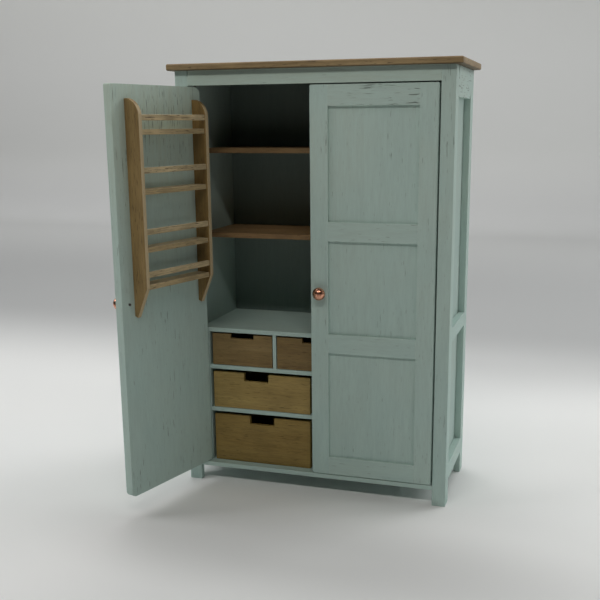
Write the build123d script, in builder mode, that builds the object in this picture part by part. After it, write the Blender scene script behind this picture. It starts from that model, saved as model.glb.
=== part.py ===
"""A 1:12 larder wardrobe: painted carcass, oak top, two panelled doors on pins and seven drawers.

Millimetres, +Z up. The origin is on the floor under the middle of the carcass, the front faces
-Y and the stored position has the left door open and the right door shut.
"""
from build123d import *
import os

# ---- driving dimensions ------------------------------------------------------------------------
width = 100.0  # across the legs
depth = 41.0  # front face of the legs to the back
carcass_h = 153.4  # floor to the underside of the oak top
strip = 2.4  # the sheet and strip wood that the carcass is built from
stile_w = 2 * strip  # a leg seen from the front
corner_w = 6.0  # a leg seen from the side

top_t = 2.3
top_side = 2.5  # overhangs of the oak top
top_front = 2.0
top_back = 0.9
top_ease = 0.6

front_rail_h = 5.1
side_top_rail_h = 10.2
side_mid_rail = (59.7, 64.7)  # lower and upper edge
side_bottom_rail = (8.4, 14.3)
back_t = 1.6
open_side_joint = 1.9  # width of the joints that have opened at the ends of the side top rails
open_front_joint = 0.4  # and at the left end of the rail over the doors

board_low = 5.9  # underside of the bottom board
unit_setback = 3.4  # worktop and drawer boards behind the front face
worktop_top = 60.2
thin = 1.6  # bottom board, worktop and drawer boards
lower_board = 27.3  # undersides of the two boards between the drawers
upper_board = 44.15
cheek_t = 3.6
partition_t = 1.8
divider_t = 1.3
divider_x = 15.5  # middle of each small drawer divider

shelf_setback = 9.8  # the shelves leave room for the rack on the door
shelf_t = 1.8
shelf_tops = {"shelf_lower": 95.4, "shelf_upper": 126.4}

door_t = 2.9
door_skin = 2.0  # flat inner board of a door; the rest is its outer frame
door_gap = 0.55  # beside the leg
door_clear = 0.3  # under a door
door_clear_top = 0.5
door_meet = 0.1  # half of the gap between the two doors
door_stile_w = 6.4
hinge_edge_round = 0.6  # lets a door's hinge edge turn clear of the leg
door_rail_edges = (14.6, 54.2, 61.2, 94.6, 101.4, 140.7)  # the rails' inner edges, from the foot up
door_corners = {  # radii of the rounded corners: meeting edge low and high, hinge edge high
    "left": (2.0, 0.5, 3.8),
    "right": (1.2, 0.6, 0.5),
}
left_open = 105.0  # degrees that the left door stands open

pin_r = 0.5
pin_clear = 0.05
pin_in_door = 5.0
pin_in_board = 1.4
pin_in_rail = 2.2

knob_in = 3.55  # knob centre from the meeting line of the doors
knob_z = 76.1
knob_r = 2.3
knob_out = 3.75
neck_r = 0.95
screw_r = 0.45
screw_tip = 0.4

rack_d = 6.0  # out from the inner face of the door
rack_near = 2.0  # hinge to the near side of the rack
rack_w = 35.2
rack_side_t = 1.6
rack_low = 71.2
rack_taper_top = 81.6
rack_shoulder = 138.4
rack_high = 143.3
rack_shelf_tops = (82.6, 95.1, 114.2, 133.5)
rack_shelf_t = 1.7
rack_shelf_d = 5.5
rack_bar_tops = (86.9, 101.2, 121.3, 138.2)
rack_bar_h = 1.9
rack_bar_t = 1.3

drawer_side_gap = 1.2  # beside the cheeks
drawer_mid_gap = 0.9  # beside the partition
drawer_small_gap = 0.35  # beside the small dividers
drawer_lift = 0.12  # running clearance under a drawer
drawer_small_top = 0.65  # gaps over the small and over the wide drawers
drawer_wide_top = 1.2
drawer_back = 37.4  # back of a drawer behind the front face
drawer_front_t = 1.6
drawer_wood = 1.2
drawer_floor = 1.0

# ---- worked out from those ---------------------------------------------------------------------
front = -depth / 2
back = depth / 2
inner_x = width / 2 - stile_w  # inner faces of the sides
board_top = board_low + thin
unit_y = front + unit_setback
inside_back = back - back_t
cheek_x = inner_x - cheek_t
drawer_y = unit_y + 0.1

hinge_r = door_t / 2  # hinge pin to the door's faces and to its hinge edge
hinge_x = inner_x - door_gap - hinge_r
hinge_y = front + hinge_r
door_low = board_top + door_clear
door_high = carcass_h - front_rail_h - door_clear_top
door_reach = hinge_x - door_meet  # hinge axis to the meeting edge
knob_s = hinge_x - knob_in
up = Vector(0, 0, 1)

os.makedirs("parts", exist_ok=True)


def save(builder, name):
    """Label a finished piece and write it."""
    builder.part.label = name
    export_step(builder.part, f"parts/{name}.step")


def save_group(builders, name):
    """Write glued pieces as separate solids of one node."""
    solids = [solid for builder in builders for solid in builder.part.solids()]
    export_step(Compound(label=name, children=solids), f"parts/{name}.step")


def slab(name, x, y, z, ease=0.0):
    """A board between two x, two y and two z limits, with its long edges eased a little."""
    with BuildPart() as board:
        with BuildSketch(Plane.XY.offset(z[0])):
            with Locations(((x[0] + x[1]) / 2, (y[0] + y[1]) / 2)):
                Rectangle(x[1] - x[0], y[1] - y[0])
        extrude(amount=z[1] - z[0])
        if ease:
            fillet(board.edges(), ease)
    save(board, name)


def both_sides(name, x, y, z):
    """The same board on the left and on the right, x counted out from the middle."""
    slab(f"{name}_left", (-x[1], -x[0]), y, z)
    slab(f"{name}_right", x, y, z)


# ---- carcass -----------------------------------------------------------------------------------
def legs_and_sides():
    """Front stiles, the stiles and rails laid on each side, and the side sheets behind them."""
    outer = (inner_x + strip, width / 2)
    behind_leg = front + strip
    rails_y = (front + corner_w, back - corner_w)
    both_sides("front_leg_stile", (inner_x, width / 2), (front, behind_leg), (0, carcass_h))
    both_sides("side_stile_front", outer, (behind_leg, rails_y[0]), (0, carcass_h))
    both_sides("side_stile_back", outer, (rails_y[1], back), (0, carcass_h))
    for name, inner_face in (("side_top_rail_left", -outer[0]), ("side_top_rail_right", outer[1])):
        side_top_rail(name, inner_face, rails_y)
    both_sides("side_middle_rail", outer, rails_y, side_mid_rail)
    both_sides("side_bottom_rail", outer, rails_y, side_bottom_rail)
    both_sides("side_panel", (inner_x, inner_x + strip), (behind_leg, back), (board_low, carcass_h))


def side_top_rail(name, right_face, y):
    """A side's top rail: its joint has opened at the top in front and at the foot behind."""
    low = carcass_h - side_top_rail_h
    with BuildPart() as rail:
        with BuildSketch(Plane.YZ.offset(right_face)):
            with BuildLine():
                Polyline(
                    (y[0] + open_side_joint, carcass_h),
                    (y[0], carcass_h - 4.6),
                    (y[0], low),
                    (y[1] - open_side_joint, low),
                    (y[1], low + 3.0),
                    (y[1], carcass_h),
                    close=True,
                )
            make_face()
        extrude(amount=-strip)
    save(rail, name)


def front_rail():
    """The rail over the doors, its left joint open, with a blind hole for each upper pin."""
    low = carcass_h - front_rail_h
    with BuildPart() as rail:
        with BuildSketch(Plane.XZ.offset(-front)):
            with BuildLine():
                Polyline(
                    (-inner_x, low),
                    (inner_x, low),
                    (inner_x, carcass_h),
                    (-inner_x + open_front_joint, carcass_h),
                    (-inner_x, carcass_h - 2.6),
                    close=True,
                )
            make_face()
        extrude(amount=-strip)
        with BuildSketch(Plane.XY.offset(low)):
            with Locations((-hinge_x, hinge_y), (hinge_x, hinge_y)):
                Circle(pin_r + pin_clear)
        extrude(amount=pin_in_rail + 0.3, mode=Mode.SUBTRACT)
    save(rail, "front_top_rail")


def bottom():
    """The bottom board, with a hole right through for each lower hinge pin."""
    with BuildPart() as board:
        with BuildSketch(Plane.XY.offset(board_low)):
            with Locations((0, (front + inside_back) / 2)):
                Rectangle(2 * inner_x, inside_back - front)
            with Locations((-hinge_x, hinge_y), (hinge_x, hinge_y)):
                Circle(pin_r + pin_clear, mode=Mode.SUBTRACT)
        extrude(amount=thin)
    save(board, "bottom_board")


def inner_boards():
    """Back, worktop, shelves and the boards that the drawers run between."""
    run = (unit_y, inside_back)
    across = (-inner_x, inner_x)
    between_cheeks = (-cheek_x, cheek_x)
    under_worktop = worktop_top - thin
    slab("back_panel", across, (inside_back, back), (board_low, carcass_h))
    slab("worktop", across, run, (under_worktop, worktop_top))
    slab("drawer_board_lower", between_cheeks, run, (lower_board, lower_board + thin))
    slab("drawer_board_upper", between_cheeks, run, (upper_board, upper_board + thin))
    both_sides("drawer_cheek", (cheek_x, inner_x), run, (board_top, under_worktop))
    for name, top in shelf_tops.items():
        slab(name, across, (front + shelf_setback, inside_back), (top - shelf_t, top))


def partitions():
    """The upright in two lengths behind the meeting line, and the two small drawer dividers."""
    mid_y = (unit_y + inside_back) / 2
    run = inside_back - unit_y
    with BuildPart() as partition:
        for low, high in ((board_top, lower_board), (lower_board + thin, upper_board)):
            with BuildSketch(Plane.XY.offset(low)):
                with Locations((0, mid_y)):
                    Rectangle(partition_t, run)
            extrude(amount=high - low)
    save(partition, "drawer_partition")
    low = upper_board + thin
    with BuildPart() as dividers:
        with BuildSketch(Plane.XY.offset(low)):
            with Locations((-divider_x, mid_y), (divider_x, mid_y)):
                Rectangle(divider_t, run)
        extrude(amount=worktop_top - thin - low)
    save(dividers, "small_drawer_dividers")


def oak_top():
    """The oak top, overhanging all round, with eased edges."""
    side = width / 2 + top_side
    slab(
        "top_board",
        (-side, side),
        (front - top_front, back + top_back),
        (carcass_h, carcass_h + top_t),
        top_ease,
    )


# ---- doors -------------------------------------------------------------------------------------
class Hung:
    """A door's own frame: along runs from the hinge pin to the meeting edge, inward to the back."""

    def __init__(self, pin, along, inward):
        self.pin, self.along, self.inward = pin, along, inward

    def level(self, z):
        """A horizontal plane at height z whose x runs along the door and whose y runs inward."""
        return Plane(self.pin + up * z, x_dir=self.along, z_dir=self.along.cross(self.inward))

    def end_on(self, s):
        """An upright plane across the door at s from the pin: x runs inward and y up."""
        return Plane(self.pin + self.along * s, x_dir=self.inward, z_dir=self.inward.cross(up))

    def front(self, s, z):
        """An upright plane in the middle of the door's thickness: x runs along it and y up."""
        origin = self.pin + self.along * s + up * z
        return Plane(origin, x_dir=self.along, z_dir=self.along.cross(up))

    def facing(self, s, z):
        """A level plane that holds a knob's axis: x runs along the door and y outward."""
        origin = self.pin + self.along * s + up * z
        return Plane(origin, x_dir=self.along, z_dir=self.inward.cross(self.along))


closed_along = Vector(1, 0, 0)
closed_inward = Vector(0, 1, 0)
doors = {
    "left": Hung(
        Vector(-hinge_x, hinge_y, 0),
        closed_along.rotate(Axis.Z, -left_open),
        closed_inward.rotate(Axis.Z, -left_open),
    ),
    "right": Hung(Vector(hinge_x, hinge_y, 0), Vector(-1, 0, 0), closed_inward),
}
skin_n = hinge_r - door_skin  # the joint between a door's frame and its inner board


def door_section(s, n):
    """The part of a door's plan between two s and two n limits; its hinge edge is rounded."""
    with BuildSketch() as section:
        with Locations(((door_reach - hinge_r) / 2, 0)):
            Rectangle(door_reach + hinge_r, door_t)
        fillet(section.vertices().group_by(Axis.X)[0], hinge_edge_round)
        with Locations(((s[0] + s[1]) / 2, (n[0] + n[1]) / 2)):
            Rectangle(s[1] - s[0], n[1] - n[0], mode=Mode.INTERSECT)
    return section.sketch


def door_outline(side, door):
    """A thick block of a door's outline with its rounded corners, to trim the pieces with."""
    wide = door_reach + hinge_r
    tall = door_high - door_low
    corners = ((wide / 2, -tall / 2), (wide / 2, tall / 2), (-wide / 2, tall / 2))
    with BuildPart() as outline:
        with BuildSketch(door.front(door_reach - wide / 2, door_low + tall / 2)) as face:
            Rectangle(wide, tall)
            for corner, radius in zip(corners, door_corners[side]):
                fillet(face.vertices().sort_by_distance(corner)[0], radius)
        extrude(amount=door_t, both=True)
    return outline.part


def pin_seats(door):
    """The two pins' seats in the ends of a door."""
    with BuildPart() as seats:
        for z in (door_low, door_high - pin_in_door):
            with BuildSketch(door.level(z)):
                Circle(pin_r)
            extrude(amount=pin_in_door, dir=up)
    return seats.part


def screw_bore(door):
    """The knob screw's hole, straight through a door."""
    with BuildPart() as bore:
        with BuildSketch(door.facing(knob_s, knob_z)):
            with Locations((screw_r / 2, 0)):
                Rectangle(screw_r, 2 * door_t)
        revolve(axis=screw_axis(door))
    return bore.part


def screw_axis(door):
    """The line through a knob, straight through its door."""
    return Axis(door.pin + door.along * knob_s + up * knob_z, door.inward)


def door_leaf(side, door):
    """A flat inner board with stiles and rails laid on its outer face."""
    tall = door_high - door_low
    rail_lines = (door_low, *door_rail_edges, door_high)
    frame_n = (-hinge_r, skin_n)
    hinge_stile = (-hinge_r, door_stile_w - hinge_r)
    meeting_stile = (door_reach - door_stile_w, door_reach)
    inner_section = door_section((-hinge_r, door_reach), (skin_n, hinge_r))
    hinge_section = door_section(hinge_stile, frame_n)
    meeting_section = door_section(meeting_stile, frame_n)
    rail_section = door_section((hinge_stile[1], meeting_stile[0]), frame_n)
    outline = door_outline(side, door)
    seats = pin_seats(door)
    bore = screw_bore(door)

    with BuildPart() as board:
        with BuildSketch(door.level(door_low)):
            add(inner_section)
        extrude(amount=tall, dir=up)
        add(outline, mode=Mode.INTERSECT)
        add(seats, mode=Mode.SUBTRACT)
        add(bore, mode=Mode.SUBTRACT)
    save(board, f"{side}_door_board")

    with BuildPart() as stile:
        with BuildSketch(door.level(door_low)):
            add(hinge_section)
        extrude(amount=tall, dir=up)
        add(outline, mode=Mode.INTERSECT)
        add(seats, mode=Mode.SUBTRACT)
    save(stile, f"{side}_door_hinge_stile")

    with BuildPart() as stile:
        with BuildSketch(door.level(door_low)):
            add(meeting_section)
        extrude(amount=tall, dir=up)
        add(outline, mode=Mode.INTERSECT)
        add(bore, mode=Mode.SUBTRACT)
    save(stile, f"{side}_door_meeting_stile")

    with BuildPart() as rails:
        for low, high in zip(rail_lines[::2], rail_lines[1::2]):
            with BuildSketch(door.level(low)):
                add(rail_section)
            extrude(amount=high - low, dir=up)
    save(rails, f"{side}_door_rails")


def door_pins(side, door):
    """The two pins that a door turns on, pressed into its ends."""
    with BuildPart() as pins:
        with BuildSketch(door.level(door_low - door_clear - pin_in_board)):
            Circle(pin_r)
        extrude(amount=pin_in_board + door_clear + pin_in_door, dir=up)
        with BuildSketch(door.level(door_high - pin_in_door)):
            Circle(pin_r)
        extrude(amount=pin_in_door + door_clear_top + pin_in_rail, dir=up)
    save(pins, f"{side}_door_pins")


def door_knob(side, door):
    """A round knob on a short neck, and the screw that holds it from inside the door."""
    face = hinge_r  # outer face, counted outward from the pin
    screw_end = face + 0.6 * knob_out
    with BuildPart() as knob:
        with BuildSketch(door.facing(knob_s, knob_z)):
            with BuildLine():
                Polyline((screw_r, face), (neck_r + 0.35, face), (neck_r, face + 0.4))
                Line((neck_r, face + 0.4), (neck_r, face + 1.0))
                Spline(
                    (neck_r, face + 1.0),
                    (knob_r, face + 2.1),
                    (0.62 * knob_r, face + 3.25),
                    (0, face + knob_out),
                )
                Polyline((0, face + knob_out), (0, screw_end), (screw_r, screw_end), (screw_r, face))
            make_face()
        revolve(axis=screw_axis(door))
    save(knob, f"{side}_door_knob")

    with BuildPart() as screw:
        with BuildSketch(door.facing(knob_s, knob_z)):
            with Locations((screw_r / 2, (screw_end - hinge_r - screw_tip) / 2)):
                Rectangle(screw_r, screw_end + hinge_r + screw_tip)
        revolve(axis=screw_axis(door))
    save(screw, f"{side}_door_knob_screw")


# ---- spice rack inside the left door -----------------------------------------------------------
def rack_upright(name, door, s):
    """One end of the rack: rounded at the shoulder and tapered to the door at its foot."""
    foot = 1.2
    with BuildPart() as upright:
        with BuildSketch(door.end_on(s)):
            with BuildLine():
                Polyline(
                    (hinge_r + 1.2, rack_high),
                    (hinge_r, rack_high),
                    (hinge_r, rack_low + 0.5),
                    (hinge_r + foot, rack_low),
                    (hinge_r + rack_d, rack_taper_top),
                    (hinge_r + rack_d, rack_shoulder),
                )
                RadiusArc((hinge_r + rack_d, rack_shoulder), (hinge_r + 1.2, rack_high), -6.2)
            make_face()
        extrude(amount=rack_side_t, dir=door.along)
    save(upright, name)


def rack_row(name, door, tops, high, n):
    """A row of boards or bars between the rack's uprights, each with its top at a given height."""
    s = (rack_near + rack_side_t, rack_near + rack_w - rack_side_t)
    with BuildPart() as row:
        for top in tops:
            with BuildSketch(door.level(top - high)):
                with Locations(((s[0] + s[1]) / 2, (n[0] + n[1]) / 2)):
                    Rectangle(s[1] - s[0], n[1] - n[0])
            extrude(amount=high, dir=up)
    save(row, name)


def rack(door):
    """Two uprights, four shelves and the bar that guards each shelf."""
    rack_upright("rack_upright_hinge_side", door, rack_near)
    rack_upright("rack_upright_knob_side", door, rack_near + rack_w - rack_side_t)
    shelf_n = (hinge_r, hinge_r + rack_shelf_d)
    bar_n = (hinge_r + rack_d - rack_bar_t - 0.2, hinge_r + rack_d - 0.2)
    rack_row("rack_shelves", door, rack_shelf_tops, rack_shelf_t, shelf_n)
    rack_row("rack_bars", door, rack_bar_tops, rack_bar_h, bar_n)


# ---- drawers -----------------------------------------------------------------------------------
def drawer(name, x, z, notch, notch_shift=0.0):
    """An open box behind a front with a square finger notch; notch is its width and depth."""
    middle = (x[0] + x[1]) / 2
    tall = z[1] - z[0]
    wide = x[1] - x[0]
    with BuildPart() as face:
        with BuildSketch(Plane.XZ.offset(-drawer_y)):
            with Locations((middle, (z[0] + z[1]) / 2)):
                Rectangle(wide, tall)
            with Locations((middle + notch_shift, z[1] - notch[1] / 2)):
                Rectangle(notch[0], notch[1], mode=Mode.SUBTRACT)
        extrude(amount=-drawer_front_t)
    save(face, f"{name}_front")

    box_y = (drawer_y + drawer_front_t, front + drawer_back)
    box_h = tall - notch[1] - 0.3
    inside = wide - 2 * drawer_wood
    box_mid = (box_y[0] + box_y[1]) / 2
    with BuildPart() as sides:
        with BuildSketch(Plane.XY.offset(z[0])):
            with Locations((x[0] + drawer_wood / 2, box_mid), (x[1] - drawer_wood / 2, box_mid)):
                Rectangle(drawer_wood, box_y[1] - box_y[0])
        extrude(amount=box_h)
    with BuildPart() as end:
        with BuildSketch(Plane.XY.offset(z[0] + drawer_floor)):
            with Locations((middle, box_y[1] - drawer_wood / 2)):
                Rectangle(inside, drawer_wood)
        extrude(amount=box_h - drawer_floor)
    with BuildPart() as floor:
        with BuildSketch(Plane.XY.offset(z[0])):
            with Locations((middle, box_mid)):
                Rectangle(inside, box_y[1] - box_y[0])
        extrude(amount=drawer_floor)
    save_group((sides, end, floor), f"{name}_box")


def drawers():
    """Three small drawers over two rows of two wider ones."""
    outer = cheek_x - drawer_side_gap
    middle = partition_t / 2 + drawer_mid_gap
    divider_in = divider_x - divider_t / 2 - drawer_small_gap
    divider_out = divider_x + divider_t / 2 + drawer_small_gap
    small_z = (upper_board + thin + drawer_lift, worktop_top - thin - drawer_small_top)
    upper_z = (lower_board + thin + drawer_lift, upper_board - drawer_wide_top)
    lower_z = (board_top + drawer_lift, lower_board - drawer_wide_top)
    small_notch = (9.3, 1.7)
    wide_notch = (9.8, 3.1)
    drawer("small_drawer_left", (-outer, -divider_out), small_z, small_notch)
    drawer("small_drawer_middle", (-divider_in, divider_in), small_z, small_notch)
    drawer("small_drawer_right", (divider_out, outer), small_z, small_notch)
    drawer("upper_drawer_left", (-outer, -middle), upper_z, wide_notch, -2.0)
    drawer("upper_drawer_right", (middle, outer), upper_z, wide_notch)
    drawer("lower_drawer_left", (-outer, -middle), lower_z, wide_notch)
    drawer("lower_drawer_right", (middle, outer), lower_z, wide_notch)


legs_and_sides()
front_rail()
bottom()
inner_boards()
partitions()
oak_top()
for hand, leaf in doors.items():
    door_leaf(hand, leaf)
    door_pins(hand, leaf)
    door_knob(hand, leaf)
rack(doors["left"])
drawers()
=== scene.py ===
"""Looks for the miniature larder wardrobe: distressed sage paint, waxed oak, copper and dark steel.

Metres, in the CAD frame. Every texture is worked out in each piece's own space, which turns with
its door and slides with its drawer.
"""
import math
import random

import bmesh
import bpy
from mathutils import Matrix, Vector

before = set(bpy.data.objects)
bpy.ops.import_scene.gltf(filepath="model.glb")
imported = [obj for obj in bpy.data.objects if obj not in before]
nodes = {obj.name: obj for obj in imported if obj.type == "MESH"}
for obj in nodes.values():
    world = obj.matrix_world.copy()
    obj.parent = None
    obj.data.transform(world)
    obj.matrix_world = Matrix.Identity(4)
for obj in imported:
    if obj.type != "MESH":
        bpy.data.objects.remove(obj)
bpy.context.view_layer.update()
MM = 0.001
LEFT_OPEN = math.radians(105)  # the left door stands open by this much at rest
# The way that the inner face of the open left door looks.
LEFT_DOOR_INWARD = (math.sin(LEFT_OPEN), math.cos(LEFT_OPEN), 0.0)
UP = (0.0, 0.0, 1.0)
UNTURNED = (0, 0, 0)
UNSHIFTED = (0, 0, 0)


# ---- a small kit for wiring materials ----------------------------------------------------------
class Wiring:
    """A material being wired. Most methods add nodes and return the output of the last one."""

    def __init__(self, name):
        self.material = bpy.data.materials.new(name)
        self.material.use_nodes = True
        self.tree = self.material.node_tree
        self.shader = self.tree.nodes["Principled BSDF"]

    def add(self, kind, **settings):
        node = self.tree.nodes.new(kind)
        for key, value in settings.items():
            setattr(node, key, value)
        return node

    def plug(self, value, socket):
        """Link an output, or set a plain number or colour."""
        if isinstance(value, bpy.types.NodeSocket):
            self.tree.links.new(value, socket)
        else:
            socket.default_value = value

    def place(self, turn, shift):
        """Object space turned so that the grain runs along X, and shifted so that no two match."""
        mapping = self.add("ShaderNodeMapping", vector_type="POINT")
        self.plug(self.add("ShaderNodeTexCoord").outputs["Object"], mapping.inputs["Vector"])
        mapping.inputs["Rotation"].default_value = turn
        mapping.inputs["Location"].default_value = shift
        return mapping.outputs[0]

    def axes(self, vector):
        """The X, Y and Z outputs of a vector."""
        separate = self.add("ShaderNodeSeparateXYZ")
        self.plug(vector, separate.inputs[0])
        return separate.outputs

    def stretch(self, vector, along, across):
        """Repeats per metre along the grain and across it."""
        mapping = self.add("ShaderNodeMapping", vector_type="POINT")
        self.plug(vector, mapping.inputs["Vector"])
        mapping.inputs["Scale"].default_value = (along, across, across)
        return mapping.outputs[0]

    def noise(self, vector, scale=1.0, detail=2.0, roughness=0.5, distortion=0.0):
        noise = self.add("ShaderNodeTexNoise", noise_dimensions="3D")
        self.plug(vector, noise.inputs["Vector"])
        noise.inputs["Scale"].default_value = scale
        noise.inputs["Detail"].default_value = detail
        noise.inputs["Roughness"].default_value = roughness
        noise.inputs["Distortion"].default_value = distortion
        return noise.outputs["Fac"]

    def span(self, value, low, high, out_low=0.0, out_high=1.0):
        """Map a range of value smoothly to another range."""
        node = self.add("ShaderNodeMapRange", interpolation_type="SMOOTHSTEP", clamp=True)
        for number, socket in zip((value, low, high, out_low, out_high), node.inputs):
            self.plug(number, socket)
        return node.outputs["Result"]

    def math(self, operation, first, second):
        node = self.add("ShaderNodeMath", operation=operation)
        self.plug(first, node.inputs[0])
        self.plug(second, node.inputs[1])
        return node.outputs[0]

    def plus(self, first, second):
        return self.math("ADD", first, second)

    def minus(self, first, second):
        return self.math("SUBTRACT", first, second)

    def times(self, first, second):
        return self.math("MULTIPLY", first, second)

    def larger(self, first, second):
        return self.math("MAXIMUM", first, second)

    def mix(self, share, first, second, blend="MIX"):
        """The first colour where share is 0, the second where it is 1."""
        node = self.add("ShaderNodeMix", data_type="RGBA", blend_type=blend)
        share_socket, first_colour, second_colour = (node.inputs[k] for k in (0, 6, 7))
        self.plug(share, share_socket)
        self.plug(first, first_colour)
        self.plug(second, second_colour)
        return node.outputs[2]

    def bend(self, radius):
        """How sharply the surface turns near a point: 0 on the flats, more on the edges."""
        bevel = self.add("ShaderNodeBevel", samples=4)
        bevel.inputs["Radius"].default_value = radius
        dot = self.add("ShaderNodeVectorMath", operation="DOT_PRODUCT")
        self.plug(bevel.outputs[0], dot.inputs[0])
        self.plug(self.add("ShaderNodeNewGeometry").outputs["Normal"], dot.inputs[1])
        return self.minus(1.0, dot.outputs["Value"])

    def facing(self, direction):
        """1 where the surface faces a direction of the piece's own space, -1 if opposite."""
        dot = self.add("ShaderNodeVectorMath", operation="DOT_PRODUCT")
        self.plug(self.add("ShaderNodeTexCoord").outputs["Normal"], dot.inputs[0])
        dot.inputs[1].default_value = direction
        return dot.outputs["Value"]

    def distance(self, vector, spot):
        """How far a vector is from a fixed spot."""
        node = self.add("ShaderNodeVectorMath", operation="DISTANCE")
        self.plug(vector, node.inputs[0])
        node.inputs[1].default_value = spot
        return node.outputs["Value"]

    def shade(self, colour, amount):
        """Multiply a colour by a grey that varies over the surface."""
        grey = self.add("ShaderNodeCombineColor")
        for socket in grey.inputs:
            self.plug(amount, socket)
        return self.mix(1.0, colour, grey.outputs[0], "MULTIPLY")

    def relief(self, height, distance, strength):
        bump = self.add("ShaderNodeBump")
        self.plug(height, bump.inputs["Height"])
        bump.inputs["Distance"].default_value = distance
        bump.inputs["Strength"].default_value = strength
        self.plug(bump.outputs[0], self.shader.inputs["Normal"])

    def surface(self, colour, roughness):
        self.plug(colour, self.shader.inputs["Base Color"])
        self.plug(roughness, self.shader.inputs["Roughness"])


def rgb(red, green, blue):
    return (red, green, blue, 1.0)


def toned(colour, share):
    """The same colour, darker or lighter."""
    return tuple(min(1.0, share * part) for part in colour[:3]) + (1.0,)


def matching(name, table, otherwise):
    """The value of the first row of a table whose beginning the name has."""
    return next((value for start, value in table if name.startswith(start)), otherwise)


# ---- paint -------------------------------------------------------------------------------------
PAINT = rgb(0.479, 0.609, 0.557)
PAINT_WARM = rgb(0.506, 0.605, 0.538)
PAINT_COOL = rgb(0.448, 0.605, 0.569)
PAINT_WARMER_TOP = rgb(0.533, 0.594, 0.474)
PAINT_LEDGE_HIGHLIGHT = rgb(0.80, 0.86, 0.81)
PAINT_RUBBED = rgb(0.658, 0.745, 0.684)
UNDER_PAINT = rgb(0.115, 0.135, 0.115)
PAINT_SPECULAR = 0.30

# How worn each kind of piece is; the first row that fits counts.
CRACKED = (
    ("right_door_rails", 1.55),
    ("left_door_", 1.3),
    ("right_door_", 0.7),
    ("side_top_rail", 1.2),
    ("front_top_rail", 0.5),
    ("front_leg", 0.5),
)
CRACKED_ELSEWHERE = 0.2
LOW_WEAR, OUTER_WEAR = 0.30, 0.35  # shares of the wear low down, and outside the left door

# How far each kind of piece turns warmer in colour towards the top.
WARMER_TOP = (("left_door_", 0.8), ("front_top_rail", 0.5))

# Heights between which the wear, the warmth and the warmer colour at the top grow, and between
# which painted shade darkens the paint in the corner under the oak top.
WORN_HEIGHTS = (105 * MM, 140 * MM)
WARM_HEIGHTS = (20 * MM, 150 * MM)
WARMER_TOP_HEIGHTS = (85 * MM, 145 * MM)
SHADE_UNDER_TOP_HEIGHTS = (151.0 * MM, 152.4 * MM)
SHADE_UNDER_TOP_TONE = 0.78
# The back panel's thickness: its inner face is painted darker than its outer one, as painted shade
# inside the cupboard.
BACK_PANEL_DEPTHS = (19.2 * MM, 20.2 * MM)
BACK_PANEL_INNER_SHADE_TONE = 0.45
SIDE_PANEL_SHADE_TONE = 0.91
WORKTOP_UPPER_SHADE_TONE = 0.74


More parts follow.
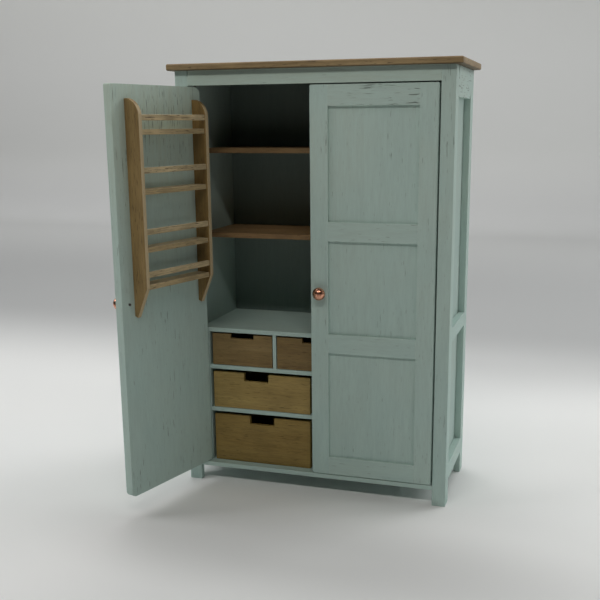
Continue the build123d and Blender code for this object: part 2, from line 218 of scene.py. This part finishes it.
def painted(name, turn, shift, cracked):
    """Chalk paint brushed on along the grain: pores show through it and the edges are rubbed; some
    pieces also get painted shade and a painted highlight.
    """
    w = Wiring(name)
    place = w.place(turn, shift)
    clouds = w.noise(place, scale=34.0)
    strokes = w.noise(w.stretch(place, 62.0, 620.0), detail=5.0, roughness=0.7, distortion=0.5)
    fibres = w.noise(w.stretch(place, 260.0, 3400.0))
    axes = w.axes(w.add("ShaderNodeTexCoord").outputs["Object"])
    depth, height_up = axes["Y"], axes["Z"]

    wear = w.span(height_up, *WORN_HEIGHTS, LOW_WEAR * cracked, cracked)
    if name.startswith("left_door_"):
        inner_side = w.facing(LEFT_DOOR_INWARD)
        wear = w.times(wear, w.span(inner_side, -0.5, 0.5, OUTER_WEAR, 1.0))
    worn_areas = w.plus(w.noise(place, scale=62.0), w.times(wear, 0.15))
    worn_areas = w.span(worn_areas, 0.60, 0.70)
    pores = w.noise(w.stretch(place, 300.0, 2700.0), detail=1.0, roughness=0.4)
    pores = w.span(pores, 0.69, 0.80)
    cracks = w.noise(w.stretch(place, 125.0, 2000.0), roughness=0.6)
    cracks = w.span(w.plus(cracks, w.times(wear, 0.045)), 0.665, 0.705)
    cracks = w.times(cracks, worn_areas)
    marks = w.larger(w.times(pores, 0.5), cracks)

    warmth = w.times(w.span(clouds, 0.32, 0.68), 0.5)
    warmth = w.plus(warmth, w.span(height_up, *WARM_HEIGHTS, 0.0, 0.5))
    # painted shade: the side panels' paint is a little darker
    tone = SIDE_PANEL_SHADE_TONE if name.startswith("side_panel") else 1.0
    cool, warm, plain = (toned(paint, tone) for paint in (PAINT_COOL, PAINT_WARM, PAINT))
    colour = w.mix(warmth, cool, warm)
    warmer_top = matching(name, WARMER_TOP, 0.0)
    if warmer_top:
        colour = w.mix(w.span(height_up, *WARMER_TOP_HEIGHTS, 0.0, warmer_top), colour, PAINT_WARMER_TOP)
    colour = w.mix(w.span(strokes, 0.3, 0.7, 0.3, 0.7), colour, plain)
    grain = w.plus(w.times(strokes, 0.65), w.times(fibres, 0.35))
    colour = w.shade(colour, w.span(grain, 0.30, 0.70, 0.945, 1.05))

    bend = w.bend(0.40 * MM)
    chips = w.span(w.noise(place, scale=640.0, detail=3.0, roughness=0.65), 0.40, 0.62)
    rim = w.times(w.span(bend, 0.02, 0.25), w.times(chips, 0.6))
    colour = w.mix(rim, colour, PAINT_RUBBED)
    deep_chips = w.span(w.noise(place, scale=400.0, detail=3.0, roughness=0.7), 0.61, 0.69)
    bare = w.times(w.span(bend, 0.06, 0.3), w.times(deep_chips, 0.75))
    marks_share = w.times(marks, 0.42 + 0.26 * min(cracked, 1.5))
    colour = w.mix(w.larger(bare, marks_share), colour, UNDER_PAINT)
    # painted highlight: the rails' upper faces are painted paler where overhead light would catch
    # them, with some rubbed paint
    if name.endswith("door_rails"):  # their upper faces, the narrow ledges under the panels
        colour = w.mix(w.span(w.facing(UP), 0.2, 0.7, 0.0, 0.9), colour, PAINT_LEDGE_HIGHLIGHT)
    # painted shade: the worktop's upper face is darker
    if name == "worktop":
        colour = w.shade(colour, w.span(w.facing(UP), 0.3, 0.8, 1.0, WORKTOP_UPPER_SHADE_TONE))
    # painted shade: the paint darkens just under the oak top's overhang
    colour = w.shade(colour, w.span(height_up, *SHADE_UNDER_TOP_HEIGHTS, 1.0, SHADE_UNDER_TOP_TONE))
    # painted shade: the back panel's inner face is darker than its outer one
    if name.startswith("back_panel"):
        inner_face_shade = w.span(depth, *BACK_PANEL_DEPTHS, BACK_PANEL_INNER_SHADE_TONE, 1.0)
        colour = w.shade(colour, inner_face_shade)

    w.surface(colour, w.span(strokes, 0.3, 0.7, 0.56, 0.70))
    height = w.plus(w.times(strokes, 0.5), w.times(fibres, 0.3))
    height = w.minus(height, w.times(marks, 0.7))
    w.relief(height, distance=0.12 * MM, strength=0.8)
    w.shader.inputs["Specular IOR Level"].default_value = PAINT_SPECULAR
    return w.material


# ---- wood --------------------------------------------------------------------------------------
# Dark, middle and light tone of each wood.
OAK = (rgb(0.200, 0.130, 0.056), rgb(0.305, 0.212, 0.103), rgb(0.430, 0.318, 0.172))
UPPER_SHELF = (rgb(0.122, 0.068, 0.025), rgb(0.174, 0.104, 0.043), rgb(0.232, 0.145, 0.065))
SHELF_OAK = (rgb(0.180, 0.102, 0.040), rgb(0.256, 0.156, 0.069), rgb(0.342, 0.217, 0.105))
RACK_SIDE = (rgb(0.215, 0.132, 0.048), rgb(0.300, 0.200, 0.080), rgb(0.410, 0.285, 0.125))
RACK_SHADED = (rgb(0.190, 0.112, 0.038), rgb(0.265, 0.170, 0.060), rgb(0.362, 0.242, 0.095))
RACK_RAW = (rgb(0.365, 0.270, 0.144), rgb(0.500, 0.390, 0.223), rgb(0.632, 0.514, 0.322))
RACK_SHELF = (rgb(0.302, 0.216, 0.102), rgb(0.419, 0.315, 0.164), rgb(0.563, 0.442, 0.259))
SMALL_DRAWER = (rgb(0.187, 0.117, 0.042), rgb(0.252, 0.168, 0.065), rgb(0.300, 0.210, 0.086))
MIDDLE_DRAWER = (rgb(0.166, 0.101, 0.034), rgb(0.224, 0.145, 0.053), rgb(0.266, 0.182, 0.071))
UPPER_DRAWER = (rgb(0.276, 0.186, 0.058), rgb(0.375, 0.261, 0.087), rgb(0.445, 0.325, 0.114))
LOWER_DRAWER = (rgb(0.212, 0.134, 0.035), rgb(0.286, 0.190, 0.053), rgb(0.340, 0.236, 0.070))
SAWN_AND_HIGHLIGHT = rgb(0.66, 0.53, 0.34)
OAK_UNDERSIDE_SHADE_TONE = 0.45
WOOD_SPECULAR = 0.35

# Beginning of the name, tones, and how strong the grain is; the first row that fits counts.
WOODS = (
    ("top_board", OAK, 0.8),
    ("shelf_upper", UPPER_SHELF, 0.7),
    ("shelf_", SHELF_OAK, 0.7),
    ("rack_bars", RACK_RAW, 1.25),
    ("rack_shelves", RACK_SHELF, 1.0),
    ("rack_upright_hinge", RACK_SHADED, 0.8),
    ("rack_", RACK_SIDE, 0.8),
    ("small_drawer_middle", MIDDLE_DRAWER, 0.65),
    ("small_drawer", SMALL_DRAWER, 0.65),
    ("upper_drawer", UPPER_DRAWER, 0.65),
    ("lower_drawer", LOWER_DRAWER, 0.65),
)


def wooden(name, turn, shift, tones, rough):
    """Waxed wood: soft figure, fine fibre, dark pores and paler rubbed edges, with painted shade
    under the oak top and a painted highlight on the rack's upper faces.
    """
    dark, middle, light = tones
    w = Wiring(name)
    place = w.place(turn, shift)
    figure = w.noise(w.stretch(place, 11.0, 190.0), detail=4.0, roughness=0.6, distortion=0.8)
    bands = w.noise(w.stretch(place, 40.0, 800.0), detail=3.0, roughness=0.6, distortion=0.4)
    fibres = w.noise(w.stretch(place, 190.0, 2900.0), detail=3.0, roughness=0.65)
    pores = w.noise(w.stretch(place, 330.0, 2900.0), detail=1.0, roughness=0.4)
    pores = w.span(pores, 0.62, 0.76)
    clouds = w.noise(place, scale=110.0)

    colour = w.mix(w.span(figure, 0.28, 0.72), dark, light)
    colour = w.mix(w.span(bands, 0.34, 0.66, 0.25, 0.75), colour, middle)
    grain = w.plus(w.times(fibres, 0.6), w.times(clouds, 0.4))
    colour = w.shade(colour, w.span(grain, 0.3, 0.7, 1.0 - 0.3 * rough, 1.0 + 0.28 * rough))
    colour = w.mix(w.times(pores, rough), colour, toned(dark, 0.5))
    chips = w.span(w.noise(place, scale=640.0, roughness=0.6), 0.4, 0.6)
    worn = w.span(w.bend(0.3 * MM), 0.02, 0.25)
    colour = w.mix(w.times(worn, w.times(chips, 0.6)), colour, toned(light, 1.3))
    # The rack is paler on its uprights' faces that look away from the door and on the upper faces
    # of its bars and shelves: raw sawn wood, and on the upper faces also a painted highlight.
    if name.startswith("rack_"):
        sawn_and_lit_face = w.facing(LEFT_DOOR_INWARD if name.startswith("rack_upright") else UP)
        colour = w.mix(w.span(sawn_and_lit_face, 0.6, 0.95, 0.0, 0.65), colour, SAWN_AND_HIGHLIGHT)
    # painted shade: the oak top's underside is darker
    if name.startswith("top_board"):
        colour = w.shade(colour, w.span(w.facing(UP), -0.9, -0.2, OAK_UNDERSIDE_SHADE_TONE, 1.0))

    w.surface(colour, w.span(fibres, 0.3, 0.7, 0.44, 0.62))
    height = w.plus(w.times(fibres, 0.5), w.times(bands, 0.4))
    height = w.minus(height, w.times(pores, 0.5))
    w.relief(height, distance=0.14 * rough * MM, strength=0.8)
    w.shader.inputs["Specular IOR Level"].default_value = WOOD_SPECULAR
    return w.material


# ---- metal -------------------------------------------------------------------------------------
COPPER, COPPER_DULL, COPPER_ROUGHNESS = rgb(0.86, 0.44, 0.30), rgb(0.50, 0.21, 0.12), 0.22
STEEL, STEEL_DULL, STEEL_ROUGHNESS = rgb(0.16, 0.15, 0.14), rgb(0.07, 0.06, 0.055), 0.45


def metal(name, bright, dull, rough):
    """Turned metal: cloudy tarnish and fine turning marks."""
    w = Wiring(name)
    place = w.place(UNTURNED, UNSHIFTED)
    tarnish = w.span(w.noise(place, scale=900.0, detail=3.0, roughness=0.6), 0.4, 0.65)
    marks = w.noise(w.stretch(place, 1200.0, 9000.0))
    w.surface(w.mix(tarnish, bright, dull), w.span(marks, 0.3, 0.7, rough - 0.06, rough + 0.12))
    w.shader.inputs["Metallic"].default_value = 1.0
    w.relief(marks, distance=0.01 * MM, strength=0.4)
    return w.material


# ---- which finish each piece gets --------------------------------------------------------------
# Turns that bring the grain to X: upright, left to right, front to back, along the open door.
UPRIGHT = (0, math.radians(90), 0)
ACROSS = UNTURNED
DEEP = (0, 0, math.radians(-90))
ALONG_OPEN_DOOR = (0, 0, LEFT_OPEN)

OPEN_DOOR_NODES = ("rack_shelves", "rack_bars", "left_door_rails")
DEEP_NODES = ("side_top_rail", "side_middle_rail", "side_bottom_rail", "drawer_cheek")
ACROSS_NODES = (
    "front_top_rail", "bottom_board", "worktop", "drawer_board", "top_board", "shelf_",
    "small_drawer", "upper_drawer", "lower_drawer", "right_door_rails",
)


def grain_of(name):
    if name in OPEN_DOOR_NODES:
        return ALONG_OPEN_DOOR
    if name.startswith(DEEP_NODES):
        return DEEP
    if name.startswith(ACROSS_NODES) and "dividers" not in name:
        return ACROSS
    return UPRIGHT


def shift_of(name):
    """A fixed place in the texture for each piece, so that no two boards look cut from one."""
    dice = random.Random(name)
    shift = [dice.uniform(-3.0, 3.0) for _ in range(3)]
    if name == "right_door_rails":
        shift[0] += 9 * MM  # the worst cracks near the middle of the top rail
    return tuple(shift)


def finish_of(name):
    grain, shift = grain_of(name), shift_of(name)
    if name.endswith("_knob"):
        return metal(name + "_copper", COPPER, COPPER_DULL, COPPER_ROUGHNESS)
    if name.endswith(("_pins", "_knob_screw")):
        return metal(name + "_steel", STEEL, STEEL_DULL, STEEL_ROUGHNESS)
    for start, tones, rough in WOODS:
        if name.startswith(start) and not name.endswith("_dividers"):
            return wooden(name + "_wood", grain, shift, tones, rough)
    return painted(name + "_paint", grain, shift, matching(name, CRACKED, CRACKED_ELSEWHERE))


# ---- eased edges -------------------------------------------------------------------------------
RACK_EASE, BOARD_EASE = 0.22 * MM, 0.16 * MM
WELD_DISTANCE = 0.002 * MM
EASE_SEGMENTS = 3
EASE_ANGLE = math.radians(40)  # edges that turn less than this stay as they are


def ease_of(name):
    """Width of the eased edge that each kind of piece gets; 0 where CAD has it."""
    if name == "top_board" or name.endswith(("_knob", "_pins", "_knob_screw")):
        return 0.0
    return RACK_EASE if name.startswith("rack_") else BOARD_EASE


def ease_edges(piece, width):
    """Weld the faces' shared edges and ease them, so that light catches every edge."""
    weld = piece.modifiers.new("weld", "WELD")
    weld.merge_threshold = WELD_DISTANCE
    bevel = piece.modifiers.new("ease", "BEVEL")
    bevel.width = width
    bevel.segments = EASE_SEGMENTS
    bevel.limit_method = "ANGLE"
    bevel.angle_limit = EASE_ANGLE
    bevel.use_clamp_overlap = True
    bevel.harden_normals = True


for node_name, piece in nodes.items():
    piece.data.materials.clear()
    piece.data.materials.append(finish_of(node_name))
    if ease_of(node_name):
        ease_edges(piece, ease_of(node_name))


# ---- stage -------------------------------------------------------------------------------------
# Half the sheet's width, its front edge, where it starts to bend upwards, and its top.
SHEET_HALF_WIDTH, SHEET_FRONT, SHEET_BEND, SHEET_TOP = 2.0, -0.9, 0.80, 1.4
BEND_RADIUS, BEND_STEPS = 0.10, 12

# The sheet's tones: a cloudy pale pair around the wardrobe, then painted light and shade by place.
SHEET_CLOUDS = (rgb(0.865, 0.87, 0.865), rgb(0.885, 0.885, 0.875))
# Painted light: a paler pool at the right. Painted shade: a greyer patch in front of the wardrobe.
SHEET_PAINTED_LIGHT = rgb(0.95, 0.95, 0.94)
SHEET_PAINTED_SHADE = rgb(0.475, 0.48, 0.475)
PAINTED_LIGHT_SPOT, PAINTED_SHADE_SPOT = (0.13, 0.07, 0.0), (0.07, -0.22, 0.0)
# A painted shadow by the open door, an oval that is longer from left to right.
DOOR_SHADOW_ALONG, DOOR_SHADOW_ACROSS = 7.5, 22.0
DOOR_SHADOW_CENTRE = (0.11, -1.52, 0.0)
DOOR_SHADOW_TONE = 0.76
# Painted shade and light on the sheet, going back and then up: greyer behind the wardrobe, lighter
# towards the bend and up the wall. Axis, where each tone starts and where it is reached.
SHEET_LIGHT_SHADE_BANDS = (
    ("Y", 0.09, 0.27, rgb(0.485, 0.49, 0.49)),
    ("Y", 0.40, 0.74, rgb(0.605, 0.61, 0.605)),
    ("Y", 0.76, 0.86, rgb(0.69, 0.695, 0.69)),
    ("Z", 0.02, 0.10, rgb(0.82, 0.825, 0.81)),
    ("Z", 0.20, 0.32, rgb(0.77, 0.775, 0.755)),
)
SHEET_ROUGHNESS = 0.7
SHEET_SPECULAR = 0.2


def sheet_material():
    """Pale paper with painted shade in front, behind and by the open door, and painted light at its
    right.
    """
    w = Wiring("pale_sheet")
    place = w.place(UNTURNED, UNSHIFTED)
    axes = w.axes(place)
    clouds = w.noise(place, scale=6.0)
    colour = w.mix(w.span(clouds, 0.3, 0.7), *SHEET_CLOUDS)
    # painted light at the right, painted shade in front and by the open door
    from_light_spot = w.distance(place, PAINTED_LIGHT_SPOT)
    colour = w.mix(w.span(from_light_spot, 0.05, 0.12, 1.0, 0.0), colour, SHEET_PAINTED_LIGHT)
    from_shade_spot = w.distance(place, PAINTED_SHADE_SPOT)
    colour = w.mix(w.span(from_shade_spot, 0.03, 0.20, 1.0, 0.0), colour, SHEET_PAINTED_SHADE)
    from_door_shadow = w.distance(w.stretch(place, DOOR_SHADOW_ALONG, DOOR_SHADOW_ACROSS), DOOR_SHADOW_CENTRE)
    colour = w.shade(colour, w.span(from_door_shadow, 0.15, 0.85, DOOR_SHADOW_TONE, 1.0))
    for axis, start, end, tone in SHEET_LIGHT_SHADE_BANDS:
        colour = w.mix(w.span(axes[axis], start, end), colour, tone)
    w.surface(colour, SHEET_ROUGHNESS)
    w.relief(w.noise(place, scale=900.0), distance=0.02 * MM, strength=0.3)
    w.shader.inputs["Specular IOR Level"].default_value = SHEET_SPECULAR
    return w.material


def backdrop():
    """A pale sheet that lies flat, then curves up a long way behind the wardrobe."""
    profile = [(SHEET_FRONT, 0.0), (SHEET_BEND, 0.0)]
    for step in range(1, BEND_STEPS + 1):
        angle = math.radians(90 * step / BEND_STEPS)
        behind, above = BEND_RADIUS * math.sin(angle), BEND_RADIUS * (1 - math.cos(angle))
        profile.append((SHEET_BEND + behind, above))
    profile.append((SHEET_BEND + BEND_RADIUS, SHEET_TOP))
    shape = bmesh.new()
    left, right = (
        [shape.verts.new((x, y, z)) for y, z in profile]
        for x in (-SHEET_HALF_WIDTH, SHEET_HALF_WIDTH)
    )
    for k in range(len(profile) - 1):
        face = shape.faces.new((left[k], right[k], right[k + 1], left[k + 1]))
        face.smooth = True
    mesh = bpy.data.meshes.new("backdrop")
    shape.to_mesh(mesh)
    shape.free()
    sheet = bpy.data.objects.new("backdrop", mesh)
    bpy.context.collection.objects.link(sheet)
    sheet.data.materials.append(sheet_material())


WHITE, WARM_LIGHT, COOL_LIGHT = (1.0, 1.0, 1.0), (1.0, 0.975, 0.93), (0.985, 1.0, 1.0)
# Name, place, the point it is aimed at, size, power in watts and colour.
LAMPS = (
    ("bar_over_front", (0.05, -0.46, 0.60), (0.05, -0.02, 0.12), (0.60, 0.045), 1.25, WARM_LIGHT),
    ("overhead", (0.0, 0.17, 0.80), (0, 0.17, 0), (0.65, 0.38), 2.30, COOL_LIGHT),
    ("left_near", (-0.40, -0.15, 0.45), (-0.10, 0, 0.08), (0.2, 0.3), 0.74, WHITE),
    ("right_rear", (0.60, 0.45, 0.40), (0, 0, 0.08), (0.4, 0.4), 1.75, COOL_LIGHT),
    ("right", (0.75, 0.0, 0.35), (0, 0, 0.08), (0.5, 0.5), 0.42, WHITE),
    ("wall_left", (-0.70, 0.45, 0.95), (-0.92, 0.95, 0.50), (1.2, 0.2), 4.8, WHITE),
    ("wall_right", (0.60, 0.45, 0.95), (0.62, 0.95, 0.35), (0.8, 0.2), 0.6, WHITE),
)
SKY_COLOUR, SKY_STRENGTH = rgb(0.95, 0.97, 1.0), 0.01


def lamp(name, place, aim, size, power, colour):
    light = bpy.data.lights.new(name, "AREA")
    light.shape = "RECTANGLE"
    light.size, light.size_y = size
    light.energy = power
    light.color = colour
    holder = bpy.data.objects.new(name, light)
    holder.location = place
    holder.rotation_mode = "QUATERNION"
    holder.rotation_quaternion = (Vector(aim) - Vector(place)).to_track_quat("-Z", "Y")
    bpy.context.collection.objects.link(holder)


def studio():
    for settings in LAMPS:
        lamp(*settings)
    world = bpy.data.worlds.new("studio")
    world.use_nodes = True
    sky = world.node_tree.nodes["Background"]
    sky.inputs["Color"].default_value = SKY_COLOUR
    sky.inputs["Strength"].default_value = SKY_STRENGTH
    bpy.context.scene.world = world
    bpy.context.scene.view_settings.view_transform = "Standard"


# The camera stands in front of the wardrobe, looks from 17.5 degrees to its right and 13 degrees
# above level, and leans by less than half a degree.
EYE = (96.67 * MM, -322.58 * MM, 134.94 * MM)
PAN, TILT, ROLL = 0.3049, 1.342, -0.0075  # radians; a tilt of pi / 2 is level
SENSOR_WIDTH, FOCAL_LENGTH = 36.0, 54.1  # mm
SHIFT_X, SHIFT_Y = -0.0256, 0.0558
CLIP_START, CLIP_END = 0.01, 10.0


def camera():
    lens = bpy.data.cameras.new("camera")
    lens.sensor_width = SENSOR_WIDTH
    lens.lens = FOCAL_LENGTH
    lens.shift_x = SHIFT_X
    lens.shift_y = SHIFT_Y
    lens.clip_start = CLIP_START
    lens.clip_end = CLIP_END
    eye = bpy.data.objects.new("camera", lens)
    pan, tilt, roll = (
        Matrix.Rotation(angle, 4, axis) for angle, axis in ((PAN, "Z"), (TILT, "X"), (ROLL, "Z"))
    )
    eye.matrix_world = Matrix.Translation(EYE) @ (pan @ tilt @ roll)
    bpy.context.collection.objects.link(eye)
    bpy.context.scene.camera = eye


backdrop()
studio()
camera()
